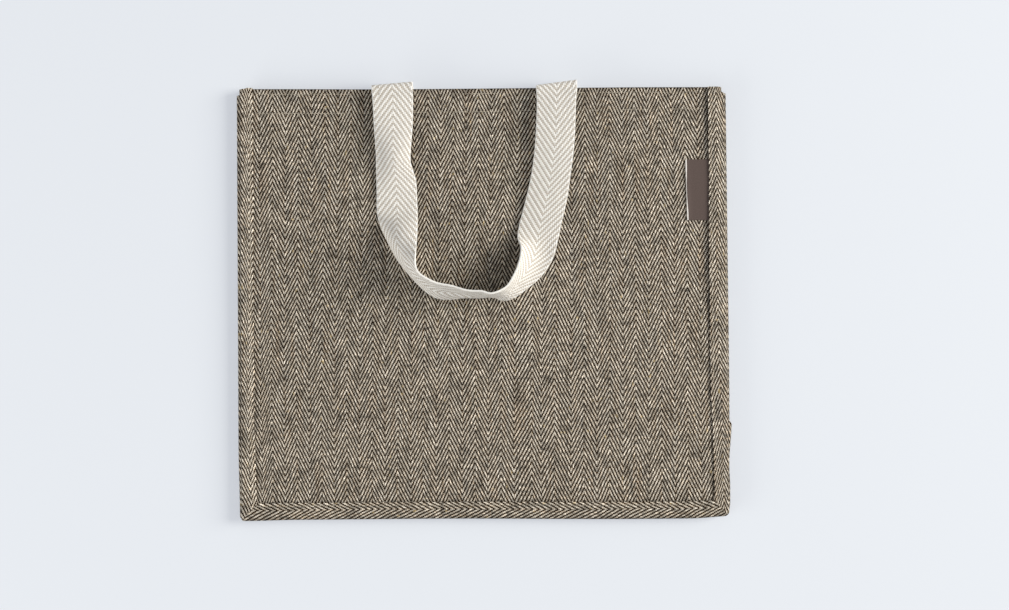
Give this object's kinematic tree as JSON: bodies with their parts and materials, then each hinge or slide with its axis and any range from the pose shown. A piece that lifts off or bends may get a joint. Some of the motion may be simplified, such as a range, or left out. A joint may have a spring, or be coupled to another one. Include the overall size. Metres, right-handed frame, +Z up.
{
  "type": "tote bag",
  "caption": "Herringbone cloth tote bag folded flat, with bound seams, inward-folded gusset, cream webbing handles and a small blank label.",
  "frame": {"origin": "middle of the folded bag's outline, on the surface it lies on", "axes": "+X across the bag to the right as seen from the front, +Y towards the mouth, +Z up out of the front panel"},
  "size_m": [0.4589, 0.406, 0.0497],
  "materials": {
    "herringbone_cloth": "coarse black and beige herringbone twill",
    "cream_webbing": "cream herringbone cotton webbing",
    "label_strip": "smooth brown woven strip"
  },
  "bodies": {
    "root": {"front_panel": "herringbone_cloth", "back_panel": "herringbone_cloth", "gusset": "herringbone_cloth", "front_binding": "herringbone_cloth", "back_binding": "herringbone_cloth", "front_handle": "cream_webbing", "back_handle": "cream_webbing", "label": "label_strip"}
  },
  "joints": []
}
